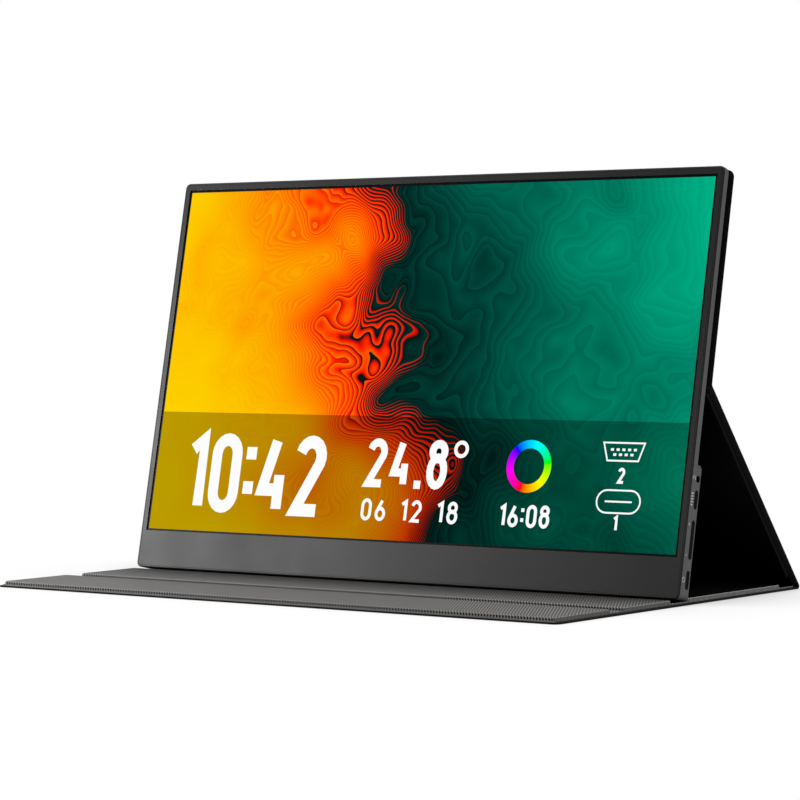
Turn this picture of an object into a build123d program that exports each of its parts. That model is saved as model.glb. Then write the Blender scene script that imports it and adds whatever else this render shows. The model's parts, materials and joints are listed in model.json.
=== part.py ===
from build123d import *
import math
import os

os.makedirs("parts", exist_ok=True)

# Millimetres. +X is the viewer's right, +Y is away from the viewer, +Z is up.
# The origin is on the table, under the middle of the whole footprint.

# Screen image and the borders round it
screen_w = 344.16
screen_h = 193.59
side_border = 4.7
top_border = 4.9
chin_h = 21.7
black_margin = 0.9

# Display casing
thin_depth = 4.8
thick_depth = 9.0
thick_h = 68.9
corner_r = 3.0
side_wall = 1.1
back_wall = 0.9
back_edge_r = 0.8
rim_chamfer = 0.5
bezel_seam = 0.15
bezel_t = 0.6
ledge_w = 0.8
fit_gap = 0.1
cut_over = 1.0

# Layers of the panel, front to back
glass_t = 0.5
glass_margin = 2.4
glass_ledge = 3.0
film_t = 0.3
guide_t = 0.6
reflector_t = 0.2
tray_t = 0.35
tray_wall = 0.3
light_strip_h = 1.2
timing_board_inset = 47.08
timing_board_h = 9.0
timing_board_t = 0.6
timing_board_y = 4.0
timing_chip = (14.0, 5.0)
timing_chip_t = 0.6
timing_chip_pitch = 70.0
tape_w = 3.0
catch_plate = (30.0, 10.0)
catch_inset = 66.78
catch_below_top = 30.19

# Boards in the thick part
board_gap = 0.65
board_t = 0.8
main_board_inset = 2.68
main_board_w = 51.0
main_board_y = (4.0, 62.0)
side_board_inset = 3.68
side_board_w = 24.0
side_board_y = (3.0, 57.0)
video_chip_w = 14.0
video_chip_t = 1.2
chip_inset = 16.0
chip_y = 44.0
can_w = 22.0
can_t = 0.3
can_clearance = 0.5
coil = (5.0, 5.0, 2.0)
coils = 3
coil_pitch = 8.0
coil_inset = 14.0
coil_y = 8.5
ribbon_t = 0.2
ribbon_end = 2.0
panel_ribbon_w = 16.0
panel_ribbon_inset = 11.0
link_ribbon_w = 10.0
link_ribbon_y = 44.0
link_ribbon_end = 5.0

# Screws that hold the boards and the speakers, and their bosses
screw_r = 0.95
screw_head_r = 1.8
screw_head_t = 0.45
screw_length = 3.2
screw_play = 0.05
screw_hole_r = 1.1
boss_r = 2.1
main_screw_insets = (8.0, 4.0)
main_screw_y = (8.0, 58.0)
side_screw_inset = 4.0
side_screw_y = (8.0, 52.0)

# Sockets in the left side
usb_w = 8.94
usb_h = 3.16
usb_length = 7.3
usb_shell_t = 0.3
usb_tongue = (6.7, 0.7)
usb_y = (16.5, 30.5)
video_w = 11.2
video_h = 3.2
video_length = 7.5
video_y = 47.0
video_tongue = (8.0, 0.8)
socket_back_t = 1.0
socket_set_back = 0.45
tongue_set_back = 1.0
socket_play = 0.15

# Keys, headphone jack and status light in the right side
key_depth = 6.0
key_slot_h = 3.2
small_key_slot = 9.7
rocker_slot = 19.8
menu_key_y = 50.6
rocker_y = 30.4
power_key_y = 10.2
key_play = 0.15
key_set_back = 0.1
key_travel = 0.4
key_flange = 0.8
key_lip = 0.4
rocker_pivot_r = 0.6
stem_w = 2.0
stem_length = 1.6
rocker_stem_reach = 7.25
switch_body = (3.0, 3.4, 2.2)
switch_stub_r = 0.7
switch_stub_length = 0.7
jack_y = 61.0
jack_bore_r = 1.81
jack_bore_length = 13.0
jack_body = (14.4, 6.0, 4.0)
light_y = 17.7
light_hole_r = 0.5
light_play = 0.05
light_pipe_length = 3.6
light_chip = (1.6, 1.6, 0.8)

# Speakers
speaker_w = 40.0
speaker_h = 15.0
speaker_t = 3.2
speaker_inset = 90.68
speaker_y = 18.0
speaker_ear = 5.0
speaker_ear_t = 0.8
cone_w = 30.0
cone_h = 10.0
cone_t = 0.4
grille_slots = 6
grille_slot = (1.2, 9.0)
grille_pitch = 4.0

# Folding cover
lean = 11.76
skin_t = 1.5
board_in_cover_t = 1.2
lining_t = 0.4
skin_overhang = 1.27
stiff_margin = 3.0
skin_margin = 2.0
skin_corner_r = 4.0
stiff_corner_r = 2.5
fold_play = 0.2
back_panel_gap = 0.1
stand_play = 0.3

# How far the cover's parts reach, along the skin
fold_h = 108.8
back_panel_below_top = 0.4
flap_gap = 0.35
groove_w = 14.4
rear_strip = 94.0
spine = 14.7
flap_strip = 45.0
lip_groove = 11.4
lip_strip = 49.5
back_fold_relief = 3.0
leg_foot_relief = 8.0

# Magnets in the cover
magnet = (30.0, 10.0)
magnet_t = 1.0
lip_magnet = (20.0, 6.0)
lip_magnet_insets = (24.05, 7.0)

# How far the two front folds turn up, in degrees
flap_range = 90.0
lip_range = 130.0

# Sizes that follow from the ones above
case_w = screen_w + 2 * side_border
case_h = chin_h + screen_h + top_border
half_case = case_w / 2
inner_half = half_case - side_wall
thin_floor = thin_depth - back_wall
thick_floor = thick_depth - back_wall
glass_front = bezel_t
film_front = glass_front + 2 * glass_t
guide_front = film_front + film_t
reflector_front = guide_front + guide_t
tray_floor = reflector_front + reflector_t
tray_back = tray_floor + tray_t
board_front = tray_back + board_gap
board_back = board_front + board_t
socket_depth = board_back + usb_h / 2
stiff_t = board_in_cover_t + lining_t
half_skin = skin_t / 2
outer_clearance = half_skin + fold_play
skin_w = case_w + 2 * skin_overhang
stiff_w = skin_w - 2 * stiff_margin
main_board_x = (main_board_inset - inner_half, main_board_inset - inner_half + main_board_w)
side_board_x = (inner_half - side_board_inset - side_board_w, inner_half - side_board_inset)
main_screw_x = (main_board_x[0] + main_screw_insets[0], main_board_x[1] - main_screw_insets[1])
side_screw_x = side_board_x[0] + side_screw_inset
chip_xy = (main_board_x[1] - chip_inset, chip_y)
speaker_x = inner_half - speaker_inset
catch_x = half_case - catch_inset
catch_y = case_h - catch_below_top
back_panel_top = case_h - back_panel_below_top

# The display stands with its lower rear edge just over the skin.
lean_rad = math.radians(lean)
sin_lean = math.sin(lean_rad)
cos_lean = math.cos(lean_rad)
face_z = (skin_t + stand_play + back_edge_r * (1 - cos_lean)
          + (thick_depth - back_edge_r) * sin_lean)

# The flap's cloth comes up just in front of the display and just clear of the base's skin.
front_setback = half_skin + stiff_t + flap_gap
flap_relief = outer_clearance

# Fold lines, first measured from the display's lower front edge
front_fold_y = -front_setback
rear_fold_y = front_fold_y + groove_w + rear_strip + spine
lip_fold_y = front_fold_y - flap_relief - flap_strip - lip_groove / 2
cover_front = lip_fold_y - lip_groove / 2 - lip_strip - skin_margin
cover_rear = rear_fold_y + half_skin
face_y = -(cover_front + cover_rear) / 2
front_fold_y += face_y
rear_fold_y += face_y
lip_fold_y += face_y
cover_front += face_y

# The back fold lies in the skin behind the display, and the leg reaches it from the rear fold.
back_fold_depth = thin_depth + back_panel_gap + stiff_t + half_skin
back_fold_y = face_y + fold_h * sin_lean + back_fold_depth * cos_lean
back_fold_z = face_z + fold_h * cos_lean - back_fold_depth * sin_lean
leg_rise = back_fold_z - half_skin
leg_run = rear_fold_y - back_fold_y
leg_length = math.hypot(leg_run, leg_rise)
leg_angle = math.degrees(math.atan2(leg_rise, leg_run))
fold_angle = 90 - leg_angle + lean

display_place = Location((0, face_y, face_z), (90 - lean, 0, 0))
table_place = Location((0, 0, half_skin))
leg_place = Location((0, rear_fold_y, half_skin), (180 - leg_angle, 0, 0))
back_panel_place = display_place * Location((0, 0, -back_fold_depth))


# Helpers. On the display, x runs to the right, y up the screen, and depth back from the bezel.

def block(x0, x1, y0, y1, z0, z1):
    """A box between two corners."""
    return Pos((x0 + x1) / 2, (y0 + y1) / 2, (z0 + z1) / 2) * Box(x1 - x0, y1 - y0, z1 - z0)


def layer(x0, x1, y0, y1, front, back):
    """A flat piece of the display between two depths."""
    return block(x0, x1, y0, y1, -back, -front)


def round_layer(width, y0, y1, radius, front, back):
    """A flat piece of the display, centred left to right, with round corners."""
    outline = Pos(0, (y0 + y1) / 2) * RectangleRounded(width, y1 - y0, radius)
    return Pos(0, 0, -back) * extrude(outline, back - front)


def centred(x, y, width, height, front, back):
    """A flat piece of the display about a point."""
    return layer(x - width / 2, x + width / 2, y - height / 2, y + height / 2, front, back)


def post(x, y, radius, front, back):
    """A round post that runs from one depth to another."""
    return Pos(x, y, -(front + back) / 2) * Cylinder(radius, back - front)


def side_rod(y, depth, radius, x0, x1):
    """A round rod from side to side."""
    return Pos((x0 + x1) / 2, y, -depth) * Rot(0, 90, 0) * Cylinder(radius, x1 - x0)


def side_slot(y, depth, length, height, x0, x1):
    """A slot with round ends that runs from side to side, longest up the display."""
    face = Plane(origin=(x0, y, -depth), x_dir=(0, 1, 0), z_dir=(1, 0, 0))
    return extrude(face * SlotOverall(length, height), x1 - x0)


def group(shapes):
    """Separate solids that share one node."""
    return Compound(children=[solid for shape in shapes for solid in shape.solids()])


def keep(name, shape, place):
    """Write one node, placed in the part's own frame."""
    export_step(place * shape, f"parts/{name}.step")


# Display casing

def main_screws_xy():
    """Where the main board's screws go."""
    return [(x, y) for x in main_screw_x for y in main_screw_y]


def side_screws_xy():
    """Where the side board's screws go."""
    return [(side_screw_x, y) for y in side_screw_y]


def speaker_screws_xy():
    """Where the speakers' screws go, one in each ear."""
    reach = speaker_w / 2 + speaker_ear / 2
    return [(side * speaker_x + end * reach, speaker_y) for side in (-1, 1) for end in (-1, 1)]


def speaker_back():
    """Depth of a speaker's face, which lies against the rear wall."""
    return thick_floor - fit_gap


def ear_front():
    """Depth of the front of a speaker's fixing ears."""
    return board_back - speaker_ear_t


def shell_bosses():
    """Bosses on the rear wall that carry the boards and the speakers."""
    bosses = []
    for x, y in main_screws_xy() + side_screws_xy() + speaker_screws_xy():
        boss = post(x, y, boss_r, board_back, thick_floor)
        boss -= post(x, y, screw_r + screw_play, board_back, board_front + screw_length + fit_gap)
        bosses.append(boss)
    return bosses


def socket_openings():
    """Openings in the left side for the three sockets."""
    outer = -half_case - cut_over
    inner = -inner_half + fit_gap
    cuts = [side_slot(y, socket_depth, usb_w + 2 * socket_play, usb_h + 2 * socket_play, outer, inner)
            for y in usb_y]
    cuts.append(side_slot(video_y, board_back + video_h / 2, video_w + 2 * socket_play,
                          video_h + 2 * socket_play, outer, inner))
    return cuts


def key_openings():
    """Openings in the right side for the keys, the jack and the status light."""
    inner = inner_half - fit_gap
    outer = half_case + cut_over
    return [
        side_slot(menu_key_y, key_depth, small_key_slot, key_slot_h, inner, outer),
        side_slot(power_key_y, key_depth, small_key_slot, key_slot_h, inner, outer),
        side_slot(rocker_y, key_depth, rocker_slot, key_slot_h, inner, outer),
        side_rod(jack_y, key_depth, jack_bore_r, inner, outer),
        side_rod(light_y, key_depth, light_hole_r, inner, outer),
    ]


def speaker_grilles():
    """Rows of slots in the rear wall behind the speakers."""
    cuts = []
    width, height = grille_slot
    for side in (-1, 1):
        for index in range(grille_slots):
            x = side * speaker_x + (index - (grille_slots - 1) / 2) * grille_pitch
            slot = Pos(x, speaker_y) * SlotOverall(height, width, rotation=90)
            cuts.append(Pos(0, 0, -thick_depth - cut_over)
                        * extrude(slot, back_wall + 2 * cut_over))
    return cuts


def rear_shell():
    """Rear casing: a thin plate with a thicker lower part, open at the front."""
    body = round_layer(case_w, 0, case_h, corner_r, 0, thin_depth)
    body = fillet(body.faces().sort_by(Axis.Z)[0].edges(), back_edge_r)
    body = chamfer(body.faces().sort_by(Axis.Z)[-1].edges(), rim_chamfer)
    thick = round_layer(case_w, 0, thick_h, corner_r, 0, thick_depth)
    thick = fillet(thick.faces().sort_by(Axis.Z)[0].edges(), back_edge_r)
    thick = chamfer(thick.faces().sort_by(Axis.Z)[-1].edges(), rim_chamfer)
    # The thick part's upper corners end behind the rim, so that the rim stays whole.
    thick &= layer(-half_case, half_case, 0, thick_h, rim_chamfer, thick_depth) \
        + layer(-half_case, half_case, 0, thick_h - corner_r, 0, thick_depth)
    body += thick
    inner_w = case_w - 2 * side_wall
    inner_r = corner_r - side_wall
    body -= round_layer(inner_w, side_wall, case_h - side_wall, inner_r, 0, bezel_t)
    body -= round_layer(inner_w - 2 * ledge_w, side_wall + ledge_w, case_h - side_wall - ledge_w,
                        inner_r - ledge_w, 0, thin_floor)
    body -= round_layer(inner_w, side_wall, thick_h - side_wall, inner_r, thin_floor, thick_floor)
    for cut in socket_openings() + key_openings() + speaker_grilles():
        body -= cut
    for boss in shell_bosses():
        body += boss
    return body


def front_bezel():
    """Front frame with the chin, set inside the casing's rim."""
    edge = side_wall + bezel_seam
    frame = round_layer(case_w - 2 * edge, edge, case_h - edge, corner_r - edge, 0, bezel_t)
    opening = Pos(0, chin_h + screen_h / 2) * Rectangle(screen_w + 2 * black_margin,
                                                        screen_h + 2 * black_margin)
    frame -= Pos(0, 0, -bezel_t) * extrude(opening, bezel_t)
    return frame


# Panel layers

def panel_bounds(margin, below):
    """Left, right, lower and upper edges of a layer round the screen image."""
    half = screen_w / 2 + margin
    return -half, half, chin_h - below, chin_h + screen_h + margin


def screen_glass():
    """Front glass of the panel, which shows the image."""
    return layer(*panel_bounds(glass_margin, glass_margin), glass_front, glass_front + glass_t)


def thin_film_glass():
    """Rear glass of the panel, longer at the bottom for its connections."""
    return layer(*panel_bounds(glass_margin, glass_ledge), glass_front + glass_t, film_front)


def tray_inside():
    """Edges of the space inside the panel tray."""
    return panel_bounds(glass_margin - tray_wall, glass_ledge - tray_wall)


def inside_layer(front, back):
    """A layer that lies inside the panel tray."""
    x0, x1, y0, y1 = tray_inside()
    return layer(x0 + fit_gap, x1 - fit_gap, y0 + fit_gap, y1 - fit_gap, front, back)


def light_guide():
    """Clear plate that spreads the light, with room for the light strip under it."""
    x0, x1, y0, y1 = tray_inside()
    bottom = y0 + 2 * fit_gap + light_strip_h
    return layer(x0 + fit_gap, x1 - fit_gap, bottom, y1 - fit_gap, guide_front, reflector_front)


def backlight_strip():
    """Row of lights along the guide's lower edge."""
    x0, x1, y0, y1 = tray_inside()
    return layer(x0 + fit_gap, x1 - fit_gap, y0 + fit_gap, y0 + fit_gap + light_strip_h,
                 guide_front, reflector_front)


def panel_tray():
    """Shallow metal tray that holds the layers behind the glass."""
    x0, x1, y0, y1 = panel_bounds(glass_margin, glass_ledge)
    tray = layer(x0, x1, y0, y1, film_front, tray_back)
    x0, x1, y0, y1 = tray_inside()
    return tray - layer(x0, x1, y0, y1, film_front, tray_floor)


def timing_board():
    """Long narrow board behind the chin."""
    half = screen_w / 2 - timing_board_inset
    return layer(-half, half, timing_board_y, timing_board_y + timing_board_h,
                 bezel_t + timing_chip_t, bezel_t + timing_chip_t + timing_board_t)


def timing_chips():
    """Chips on the front of the timing board."""
    width, height = timing_chip
    y = timing_board_y + timing_board_h / 2
    return group([centred(place * timing_chip_pitch, y, width, height, bezel_t,
                          bezel_t + timing_chip_t) for place in (-1, 0, 1)])


def panel_ribbon():
    """Ribbon from the timing board's back to the front of the main board."""
    x = main_board_x[1] - panel_ribbon_inset
    start = bezel_t + timing_chip_t + timing_board_t
    x0, x1 = x - panel_ribbon_w / 2, x + panel_ribbon_w / 2
    y = timing_board_y + timing_board_h - ribbon_end
    ribbon = layer(x0, x1, y - ribbon_end, y + ribbon_t, start, start + ribbon_t)
    ribbon += layer(x0, x1, y, y + ribbon_t, start, board_front)
    ribbon += layer(x0, x1, y, y + ribbon_end, board_front - ribbon_t, board_front)
    return ribbon


def mounting_tape():
    """Strips of foam tape between the tray and the rear wall of the thin part."""
    x0, x1, y0, y1 = panel_bounds(glass_margin, glass_ledge)
    low = thick_h + side_wall
    front, back = tray_back, thin_floor
    side = inner_half - ledge_w - fit_gap
    return group([
        layer(-side, -side + tape_w, low, y1 - tape_w, front, back),
        layer(side - tape_w, side, low, y1 - tape_w, front, back),
        layer(-side, side, y1 - tape_w, y1, front, back),
    ])


def catch_plates():
    """Thin steel plates behind the panel, which the cover's magnets hold to."""
    width, height = catch_plate
    return group([centred(side * catch_x, catch_y, width, height, tray_back, thin_floor)
                  for side in (-1, 1)])


# Boards and what is on them

def screw_holes(spots):
    """Clearance holes through a board."""
    return [post(x, y, screw_hole_r, board_front, board_back) for x, y in spots]


def main_board():
    """Board with the sockets and the video chip."""
    board = layer(*main_board_x, *main_board_y, board_front, board_back)
    for hole in screw_holes(main_screws_xy()):
        board -= hole
    return board


def side_board():
    """Small board behind the keys."""
    board = layer(*side_board_x, *side_board_y, board_front, board_back)
    for hole in screw_holes(side_screws_xy()):
        board -= hole
    return board


def video_chip():
    """Chip under the shield can."""
    return centred(*chip_xy, video_chip_w, video_chip_w, board_back, board_back + video_chip_t)


def shield_can():
    """Thin metal lid over the video chip."""
    height = video_chip_t + can_clearance
    lid = centred(*chip_xy, can_w, can_w, board_back, board_back + height + can_t)
    return lid - centred(*chip_xy, can_w - 2 * can_t, can_w - 2 * can_t, board_back,
                         board_back + height)


def power_coils():
    """Square coils beside the sockets."""
    width, height, thickness = coil
    first = main_board_x[1] - coil_inset
    return group([centred(first - index * coil_pitch, coil_y, width, height, board_back,
                          board_back + thickness) for index in range(coils)])


def socket_mouth():
    """The sockets' mouths lie just inside the outer face of the left side."""
    return -half_case + socket_set_back


def socket_shell(y, depth, width, height, length):
    """Metal shell of a socket, open at the left."""
    mouth = socket_mouth()
    shell = side_slot(y, depth, width, height, mouth, mouth + length)
    hollow = side_slot(y, depth, width - 2 * usb_shell_t, height - 2 * usb_shell_t,
                       mouth, mouth + length - socket_back_t)
    return shell - hollow


def socket_tongue(y, depth, size, length):
    """Contact tongue that stands on a socket's back."""
    width, height = size
    mouth = socket_mouth()
    return layer(mouth + tongue_set_back, mouth + length - socket_back_t,
                 y - width / 2, y + width / 2, depth - height / 2, depth + height / 2)


def usb_sockets():
    """Shells of the two small power and data sockets."""
    return group([socket_shell(y, socket_depth, usb_w, usb_h, usb_length) for y in usb_y])


def usb_tongues():
    """Tongues of the two small sockets."""
    return group([socket_tongue(y, socket_depth, usb_tongue, usb_length) for y in usb_y])


def video_socket():
    """Shell of the mini video socket."""
    return socket_shell(video_y, board_back + video_h / 2, video_w, video_h, video_length)


def video_socket_tongue():
    """Tongue of the mini video socket."""
    return socket_tongue(video_y, board_back + video_h / 2, video_tongue, video_length)


def headphone_jack():
    """Socket for a headphone plug, open at the right."""
    length, height, thickness = jack_body
    x1 = inner_half - fit_gap
    body = layer(x1 - length, x1, jack_y - height / 2, jack_y + height / 2,
                 key_depth - thickness / 2, key_depth + thickness / 2)
    return body - side_rod(jack_y, key_depth, jack_bore_r, x1 - jack_bore_length, x1)


def key_inner_x():
    """Left end of a key's stem."""
    return inner_half - fit_gap - key_flange - stem_length


def switch_face_x():
    """Right end of a key switch's stub, which a pressed key just reaches."""
    return key_inner_x() - key_travel - fit_gap


def key_switches():
    """Four key switches on the back of the side board."""
    width, height, thickness = switch_body
    x1 = switch_face_x() - switch_stub_length
    switches = []
    for y in (menu_key_y, rocker_y + rocker_stem_reach, rocker_y - rocker_stem_reach, power_key_y):
        switch = layer(x1 - width, x1, y - height / 2, y + height / 2, board_back,
                       board_back + thickness)
        switch += side_rod(y, board_back + thickness / 2, switch_stub_r, x1,
                           x1 + switch_stub_length)
        switches.append(switch)
    return group(switches)


def light_pipe():
    """Clear rod that carries the status light to the outer face."""
    x1 = half_case - fit_gap
    return side_rod(light_y, key_depth, light_hole_r - light_play, x1 - light_pipe_length, x1)


def status_light():
    """Small light at the inner end of the light pipe."""
    width, height, thickness = light_chip
    x1 = half_case - light_pipe_length - 2 * fit_gap
    return layer(x1 - width, x1, light_y - height / 2, light_y + height / 2, board_back,
                 key_depth + thickness / 2)


def link_ribbon():
    """Flat cable from the main board to the side board, along their backs."""
    y0 = link_ribbon_y - link_ribbon_w / 2
    return layer(main_board_x[1] - link_ribbon_end, side_board_x[0] + link_ribbon_end,
                 y0, y0 + link_ribbon_w, board_back, board_back + ribbon_t)


# Speakers and screws

def speaker(side):
    """One speaker box with two fixing ears and a recess for its cone."""
    x = side * speaker_x
    back = speaker_back()
    box = centred(x, speaker_y, speaker_w, speaker_h, back - speaker_t, back)
    ears = centred(x, speaker_y, speaker_w + 2 * speaker_ear, speaker_ear, ear_front(), board_back)
    front = ear_front()
    if front < back - speaker_t:
        ears += centred(x, speaker_y, speaker_w, speaker_ear, front, back - speaker_t)
    box += ears
    box -= centred(x, speaker_y, cone_w, cone_h, back - speaker_t / 2, back)
    for spot_x, spot_y in speaker_screws_xy():
        box -= post(spot_x, spot_y, screw_hole_r, front, board_back)
    return box


def speaker_cones():
    """Thin moving plates of the two speakers."""
    back = speaker_back() - speaker_t / 2
    return group([centred(side * speaker_x, speaker_y, cone_w - 2 * fit_gap, cone_h - 2 * fit_gap,
                          back, back + cone_t) for side in (-1, 1)])


def board_screws():
    """Identical small screws, one in each boss."""
    screws = []
    for x, y in main_screws_xy() + side_screws_xy() + speaker_screws_xy():
        screw = post(x, y, screw_r, board_front, board_front + screw_length)
        screw += post(x, y, screw_head_r, board_front - screw_head_t, board_front)
        screws.append(screw)
    return group(screws)


# Keys

def small_key(y):
    """A key with its retaining flange and its stem."""
    wall_x = inner_half - fit_gap
    cap = side_slot(y, key_depth, small_key_slot - 2 * key_play, key_slot_h - 2 * key_play,
                    wall_x, half_case - key_set_back)
    flange = side_slot(y, key_depth, small_key_slot + 2 * key_lip, key_slot_h + 2 * key_lip,
                       wall_x - key_flange, wall_x)
    stem = layer(key_inner_x(), wall_x - key_flange, y - stem_w / 2, y + stem_w / 2,
                 key_depth - stem_w / 2, key_depth + stem_w / 2)
    return cap + flange + stem


def rocker_key():
    """Long plus and minus key, which rocks on a round bar at its middle onto two switches."""
    wall_x = inner_half - fit_gap
    bar_reach = key_slot_h / 2 + key_lip
    cap = side_slot(rocker_y, key_depth, rocker_slot - 2 * key_play, key_slot_h - 2 * key_play,
                    wall_x - key_flange, half_case - key_set_back)
    key = cap + post(wall_x - rocker_pivot_r, rocker_y, rocker_pivot_r, key_depth - bar_reach,
                     key_depth + bar_reach)
    for side in (-1, 1):
        y = rocker_y + side * rocker_stem_reach
        key += layer(key_inner_x(), wall_x - key_flange, y - stem_w / 2, y + stem_w / 2,
                     key_depth - stem_w / 2, key_depth + stem_w / 2)
    return key


# Cover. In a panel's own frame, y runs along the skin from a fold line, z is 0 in the skin's
# middle and grows towards the inside of the cover.

def fold_rod(y):
    """Round edge of the skin along a fold line."""
    return Pos(0, y, 0) * Rot(0, 90, 0) * Cylinder(half_skin, skin_w)


def skin_piece(inside, outside=None, folds=(), free=None):
    """A stretch of skin between two ends on its inside and on its outside, round along its
    fold lines, with round corners at a free end."""
    outside = outside or inside
    profile = Polyline((inside[0], half_skin), (inside[1], half_skin), (outside[1], -half_skin),
                       (outside[0], -half_skin), close=True)
    sheet = extrude(Plane.YZ * make_face(profile), skin_w / 2, both=True)
    if free is not None:
        corners = sheet.edges().filter_by(Axis.Z).group_by(Axis.Y)[free]
        sheet = fillet(corners, skin_corner_r)
    for y in folds:
        sheet += fold_rod(y)
    return sheet


def fold_clearance(inner_angle):
    """How far a neighbour's skin stays from a fold line on its inside, at the fold's smallest
    inner angle. On its outside it comes as near as the round fold allows."""
    reach = half_skin / math.tan(math.radians(inner_angle / 2))
    return max(half_skin, reach) + fold_play


def stiff_outline(y0, y1, margin):
    """Outline of a stiff panel, drawn in by a margin."""
    width = stiff_w - 2 * margin
    length = y1 - y0 - 2 * margin
    return Pos(0, (y0 + y1) / 2) * RectangleRounded(width, length, stiff_corner_r - margin)


def stiff_board(y0, y1):
    """Board that stiffens a panel of the cover."""
    return Pos(0, 0, half_skin) * extrude(stiff_outline(y0, y1, lining_t), board_in_cover_t)


def lining(y0, y1):
    """Cloth that wraps a board's face and its edges."""
    wrap = Pos(0, 0, half_skin) * extrude(stiff_outline(y0, y1, 0), stiff_t)
    return wrap - stiff_board(y0, y1)


def magnet_windows(spots, size):
    """Windows in a board, and the magnets that lie in them, just clear of the skin."""
    width, height = size
    windows = []
    magnets = []
    for x, y in spots:
        windows.append(block(x - width / 2 - fit_gap, x + width / 2 + fit_gap,
                             y - height / 2 - fit_gap, y + height / 2 + fit_gap,
                             half_skin, half_skin + board_in_cover_t))
        magnets.append(block(x - width / 2, x + width / 2, y - height / 2, y + height / 2,
                             half_skin + fit_gap, half_skin + fit_gap + magnet_t))
    return windows, magnets


def keep_panel(prefix, place, skin, stiff_from, stiff_to, magnets=None):
    """Write a panel's skin, board and lining, and its magnets if it has any."""
    keep(prefix + "_skin", skin, place)
    board = stiff_board(stiff_from, stiff_to)
    if magnets:
        windows, bars = magnet_windows(*magnets)
        for window in windows:
            board -= window
        keep(prefix + "_magnets", group(bars), place)
    keep(prefix + "_stiffener", board, place)
    keep(prefix + "_lining", lining(stiff_from, stiff_to), place)


def write_display():
    """Write the display's pieces."""
    pieces = {
        "rear_shell": rear_shell(),
        "front_bezel": front_bezel(),
        "screen_glass": screen_glass(),
        "thin_film_glass": thin_film_glass(),
        "diffuser_film": inside_layer(film_front, guide_front),
        "light_guide": light_guide(),
        "reflector_film": inside_layer(reflector_front, tray_floor),
        "backlight_strip": backlight_strip(),
        "panel_tray": panel_tray(),
        "mounting_tape": mounting_tape(),
        "catch_plates": catch_plates(),
        "timing_board": timing_board(),
        "timing_chips": timing_chips(),
        "panel_ribbon": panel_ribbon(),
        "main_board": main_board(),
        "side_board": side_board(),
        "video_chip": video_chip(),
        "shield_can": shield_can(),
        "power_coils": power_coils(),
        "usb_sockets": usb_sockets(),
        "usb_tongues": usb_tongues(),
        "video_socket": video_socket(),
        "video_socket_tongue": video_socket_tongue(),
        "headphone_jack": headphone_jack(),
        "key_switches": key_switches(),
        "light_pipe": light_pipe(),
        "status_light": status_light(),
        "link_ribbon": link_ribbon(),
        "left_speaker": speaker(-1),
        "right_speaker": speaker(1),
        "speaker_cones": speaker_cones(),
        "board_screws": board_screws(),
        "menu_key": small_key(menu_key_y),
        "power_key": small_key(power_key_y),
        "rocker_key": rocker_key(),
    }
    for name, shape in pieces.items():
        keep(name, shape, display_place)


def write_base():
    """Write the part of the cover that lies under the display and behind it."""
    ends = (front_fold_y, rear_fold_y)
    skin = skin_piece(ends, folds=ends)
    stiff_from = front_fold_y + groove_w
    keep_panel("base", table_place, skin, stiff_from, stiff_from + rear_strip)


def write_flap():
    """Write the strip in front of the display."""
    skin_to = front_fold_y - fold_clearance(180 - flap_range)
    skin = skin_piece((lip_fold_y, skin_to), (lip_fold_y, front_fold_y - outer_clearance),
                      folds=(lip_fold_y,))
    stiff_to = front_fold_y - flap_relief
    keep_panel("flap", table_place, skin, stiff_to - flap_strip, stiff_to)


def write_lip():
    """Write the front strip, with the magnets that hold the cover shut."""
    skin_to = lip_fold_y - fold_clearance(180 - lip_range)
    skin = skin_piece((cover_front, skin_to), (cover_front, lip_fold_y - outer_clearance), free=0)
    stiff_to = lip_fold_y - lip_groove / 2
    stiff_from = stiff_to - lip_strip
    across, along = lip_magnet_insets
    spots = [(side * (stiff_w / 2 - across), stiff_from + along) for side in (-1, 1)]
    keep_panel("lip", table_place, skin, stiff_from, stiff_to, (spots, lip_magnet))


def write_leg():
    """Write the leg, which runs from the rear fold up to the back fold."""
    inside = (fold_clearance(leg_angle), leg_length - fold_clearance(180 - fold_angle))
    skin = skin_piece(inside, (outer_clearance, leg_length - outer_clearance))
    keep_panel("leg", leg_place, skin, leg_foot_relief, leg_length - back_fold_relief)


def write_back_panel():
    """Write the upper panel, which holds the display by its magnets."""
    skin = skin_piece((fold_h, back_panel_top), folds=(fold_h,), free=-1)
    spots = [(side * catch_x, catch_y) for side in (-1, 1)]
    keep_panel("back_panel", back_panel_place, skin, fold_h + back_fold_relief,
               back_panel_top - skin_margin, (spots, magnet))


write_display()
write_base()
write_flap()
write_lip()
write_leg()
write_back_panel()
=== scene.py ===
import json
import math
import bpy
import bmesh
from mathutils import Euler, Matrix, Vector
from mathutils.geometry import delaunay_2d_cdt


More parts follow.
